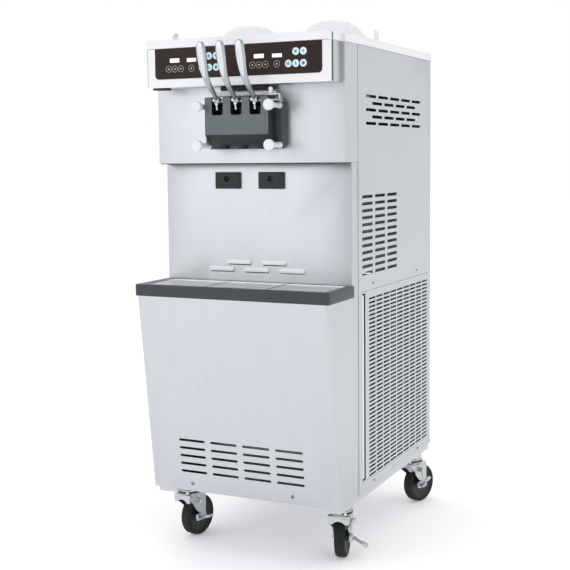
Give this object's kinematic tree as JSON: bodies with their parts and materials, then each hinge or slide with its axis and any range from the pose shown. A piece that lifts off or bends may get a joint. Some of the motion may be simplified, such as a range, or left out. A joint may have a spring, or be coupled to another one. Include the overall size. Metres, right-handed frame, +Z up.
{
  "type": "soft serve machine",
  "caption": "Floor-standing twin-twist soft-serve machine: steel cabinet on swivel casters, pull levers over a dispensing head, drip tray, louvred sides, domed hopper lids.",
  "frame": {"origin": "centre of the footprint on the floor, under the middle of the bounding box", "axes": "+X to the operator's right, -Y out of the front where cones are served, +Z up"},
  "size_m": [0.6737, 0.9361, 1.58],
  "materials": {
    "stainless": "fine vertical satin brush, cool grey",
    "white_cover": "near-white satin coat",
    "white_plastic": "moulded near-white plastic, soft gloss",
    "overlay": "dark brown printed membrane with pale keys",
    "circuit_board": "green laminate",
    "door_plastic": "moulded mid-grey plastic",
    "drawer_plastic": "dark grey moulded plastic",
    "rim_plastic": "dark blue-grey moulded plastic",
    "knob_plastic": "pale moulded plastic",
    "chrome": "polished cast metal",
    "zinc": "zinc-plated pressed steel",
    "tyre": "black rubber tread on a metal hub",
    "coil": "finned copper and aluminium coil",
    "machinery": "black coated casting",
    "black_plastic": "black moulded plastic"
  },
  "bodies": {
    "cabinet": {"base_frame": "stainless", "left_front_post": "stainless", "right_front_post": "stainless", "equipment_shelf": "stainless", "left_side_panel": "stainless", "right_side_panel": "stainless", "rear_panel": "stainless", "head_panel": "stainless", "splash_panel": "stainless", "front_panel": "stainless", "freezing_cylinder_left": "stainless", "freezing_cylinder_right": "stainless", "hopper_left": "stainless", "hopper_right": "stainless", "top_cover": "white_cover", "console_housing": "white_cover", "control_overlay": "overlay", "control_board": "circuit_board", "dispensing_door": "door_plastic", "pivot_pin": "chrome", "condenser": "coil", "gear_motor_left": "machinery", "gear_motor_right": "machinery", "compressor": "machinery", "cable_gland": "black_plastic"},
    "lever_left": {"draw_lever_left": "chrome"},
    "valve_left": {"draw_valve_left": "white_plastic"},
    "lever_middle": {"draw_lever_middle": "chrome"},
    "valve_middle": {"draw_valve_middle": "white_plastic"},
    "lever_right": {"draw_lever_right": "chrome"},
    "valve_right": {"draw_valve_right": "white_plastic"},
    "nut_upper_left": {"thumb_nut_upper_left": "knob_plastic"},
    "nut_upper_right": {"thumb_nut_upper_right": "knob_plastic"},
    "nut_lower_left": {"thumb_nut_lower_left": "knob_plastic"},
    "nut_lower_right": {"thumb_nut_lower_right": "knob_plastic"},
    "beater_left": {"beater_left": "chrome"},
    "beater_right": {"beater_right": "chrome"},
    "lid_left": {"hopper_lid_left": "white_plastic"},
    "lid_right": {"hopper_lid_right": "white_plastic"},
    "drip_tray": {"drip_tray": "rim_plastic"},
    "grate_1": {"tray_grate_1": "stainless"},
    "grate_2": {"tray_grate_2": "stainless"},
    "grate_3": {"tray_grate_3": "stainless"},
    "drawer_left": {"drip_drawer_left": "drawer_plastic"},
    "drawer_right": {"drip_drawer_right": "drawer_plastic"},
    "grille_left": {"left_grille_door": "stainless"},
    "grille_right": {"right_grille_door": "stainless"},
    "fan": {"fan": "black_plastic"},
    "fork_front_left": {"caster_fork_front_left": "zinc"},
    "wheel_front_left": {"caster_wheel_front_left": "tyre"},
    "pedal_front_left": {"brake_pedal_front_left": "zinc"},
    "fork_front_right": {"caster_fork_front_right": "zinc"},
    "wheel_front_right": {"caster_wheel_front_right": "tyre"},
    "pedal_front_right": {"brake_pedal_front_right": "zinc"},
    "fork_rear_right": {"caster_fork_rear_right": "zinc"},
    "wheel_rear_right": {"caster_wheel_rear_right": "tyre"},
    "pedal_rear_right": {"brake_pedal_rear_right": "zinc"},
    "fork_rear_left": {"caster_fork_rear_left": "zinc"},
    "wheel_rear_left": {"caster_wheel_rear_left": "tyre"},
    "pedal_rear_left": {"brake_pedal_rear_left": "zinc"}
  },
  "joints": [
    {"name": "lever_left_pull", "type": "hinge", "parent": "cabinet", "child": "lever_left", "pos_m": [-0.06, -0.358, 1.33], "axis": [1, 0, 0], "range_deg": [0, 45]},
    {"name": "valve_left_lift", "type": "slide", "parent": "cabinet", "child": "valve_left", "axis": [0, 0, 1], "range_m": [0, 0.0222]},
    {"name": "lever_middle_pull", "type": "hinge", "parent": "cabinet", "child": "lever_middle", "pos_m": [0, -0.358, 1.33], "axis": [1, 0, 0], "range_deg": [0, 45]},
    {"name": "valve_middle_lift", "type": "slide", "parent": "cabinet", "child": "valve_middle", "axis": [0, 0, 1], "range_m": [0, 0.0222]},
    {"name": "lever_right_pull", "type": "hinge", "parent": "cabinet", "child": "lever_right", "pos_m": [0.06, -0.358, 1.33], "axis": [1, 0, 0], "range_deg": [0, 45]},
    {"name": "valve_right_lift", "type": "slide", "parent": "cabinet", "child": "valve_right", "axis": [0, 0, 1], "range_m": [0, 0.0222]},
    {"name": "nut_upper_left_turn", "type": "hinge", "parent": "cabinet", "child": "nut_upper_left", "pos_m": [-0.113, -0.39, 1.316], "axis": [0, -1, 0], "continuous": true},
    {"name": "nut_upper_right_turn", "type": "hinge", "parent": "cabinet", "child": "nut_upper_right", "pos_m": [0.113, -0.39, 1.316], "axis": [0, -1, 0], "continuous": true},
    {"name": "nut_lower_left_turn", "type": "hinge", "parent": "cabinet", "child": "nut_lower_left", "pos_m": [-0.113, -0.39, 1.206], "axis": [0, -1, 0], "continuous": true},
    {"name": "nut_lower_right_turn", "type": "hinge", "parent": "cabinet", "child": "nut_lower_right", "pos_m": [0.113, -0.39, 1.206], "axis": [0, -1, 0], "continuous": true},
    {"name": "beater_left_spin", "type": "hinge", "parent": "cabinet", "child": "beater_left", "pos_m": [-0.062, 0, 1.2645], "axis": [0, 1, 0], "continuous": true},
    {"name": "beater_right_spin", "type": "hinge", "parent": "cabinet", "child": "beater_right", "pos_m": [0.062, 0, 1.2645], "axis": [0, 1, 0], "continuous": true},
    {"name": "lid_left_lift", "type": "slide", "parent": "cabinet", "child": "lid_left", "axis": [0, 0, 1], "range_m": [0, 0.15]},
    {"name": "lid_right_lift", "type": "slide", "parent": "cabinet", "child": "lid_right", "axis": [0, 0, 1], "range_m": [0, 0.15]},
    {"name": "drip_tray_lift", "type": "slide", "parent": "cabinet", "child": "drip_tray", "axis": [0, 0, 1], "range_m": [0, 0.12]},
    {"name": "grate_1_lift", "type": "slide", "parent": "drip_tray", "child": "grate_1", "axis": [0, 0, 1], "range_m": [0, 0.1]},
    {"name": "grate_2_lift", "type": "slide", "parent": "drip_tray", "child": "grate_2", "axis": [0, 0, 1], "range_m": [0, 0.1]},
    {"name": "grate_3_lift", "type": "slide", "parent": "drip_tray", "child": "grate_3", "axis": [0, 0, 1], "range_m": [0, 0.1]},
    {"name": "drawer_left_slide", "type": "slide", "parent": "cabinet", "child": "drawer_left", "axis": [0, -1, 0], "range_m": [0, 0.28]},
    {"name": "drawer_right_slide", "type": "slide", "parent": "cabinet", "child": "drawer_right", "axis": [0, -1, 0], "range_m": [0, 0.28]},
    {"name": "grille_left_open", "type": "hinge", "parent": "cabinet", "child": "grille_left", "pos_m": [-0.3, 0.427, 0.5], "axis": [0, 0, 1], "range_deg": [-100, 0]},
    {"name": "grille_right_open", "type": "hinge", "parent": "cabinet", "child": "grille_right", "pos_m": [0.3, 0.427, 0.5], "axis": [0, 0, 1], "range_deg": [0, 100]},
    {"name": "fan_spin", "type": "hinge", "parent": "cabinet", "child": "fan", "pos_m": [0.175, 0.126, 0.475], "axis": [1, 0, 0], "continuous": true},
    {"name": "swivel_front_left", "type": "hinge", "parent": "cabinet", "child": "fork_front_left", "pos_m": [-0.253, -0.232, 0.15], "axis": [0, 0, 1], "continuous": true},
    {"name": "roll_front_left", "type": "hinge", "parent": "fork_front_left", "child": "wheel_front_left", "pos_m": [-0.2464, -0.19458, 0.06272], "axis": [0.9848, -0.1736, 0], "continuous": true},
    {"name": "brake_front_left", "type": "hinge", "parent": "fork_front_left", "child": "pedal_front_left", "pos_m": [-0.21123, -0.23124, 0.066], "axis": [-0.1736, -0.9848, 0], "range_deg": [-50, 30]},
    {"name": "swivel_front_right", "type": "hinge", "parent": "cabinet", "child": "fork_front_right", "pos_m": [0.253, -0.232, 0.15], "axis": [0, 0, 1], "continuous": true},
    {"name": "roll_front_right", "type": "hinge", "parent": "fork_front_right", "child": "wheel_front_right", "pos_m": [0.24445, -0.19497, 0.06272], "axis": [0.9744, 0.225, 0], "continuous": true},
    {"name": "brake_front_right", "type": "hinge", "parent": "fork_front_right", "child": "pedal_front_right", "pos_m": [0.29115, -0.21498, 0.066], "axis": [0.225, -0.9744, 0], "range_deg": [0, 80]},
    {"name": "swivel_rear_right", "type": "hinge", "parent": "cabinet", "child": "fork_rear_right", "pos_m": [0.263, 0.37, 0.15], "axis": [0, 0, 1], "continuous": true},
    {"name": "roll_rear_right", "type": "hinge", "parent": "fork_rear_right", "child": "wheel_rear_right", "pos_m": [0.27631, 0.40559, 0.06272], "axis": [0.9367, -0.3502, 0], "continuous": true},
    {"name": "brake_rear_right", "type": "hinge", "parent": "fork_rear_right", "child": "pedal_rear_right", "pos_m": [0.30421, 0.36313, 0.066], "axis": [-0.3502, -0.9367, 0], "range_deg": [-80, 0]},
    {"name": "swivel_rear_left", "type": "hinge", "parent": "cabinet", "child": "fork_rear_left", "pos_m": [-0.263, 0.37, 0.15], "axis": [0, 0, 1], "continuous": true},
    {"name": "roll_rear_left", "type": "hinge", "parent": "fork_rear_left", "child": "wheel_rear_left", "pos_m": [-0.24664, 0.3357, 0.06272], "axis": [-0.9026, -0.4305, 0], "continuous": true},
    {"name": "brake_rear_left", "type": "hinge", "parent": "fork_rear_left", "child": "pedal_rear_left", "pos_m": [-0.29656, 0.34513, 0.066], "axis": [-0.4305, 0.9026, 0], "range_deg": [0, 80]}
  ],
  "couplings": [
    {"joint": "valve_left_lift", "follows": "lever_left_pull", "m_per_rad": 0.0272},
    {"joint": "valve_middle_lift", "follows": "lever_middle_pull", "m_per_rad": 0.0272},
    {"joint": "valve_right_lift", "follows": "lever_right_pull", "m_per_rad": 0.0272}
  ]
}
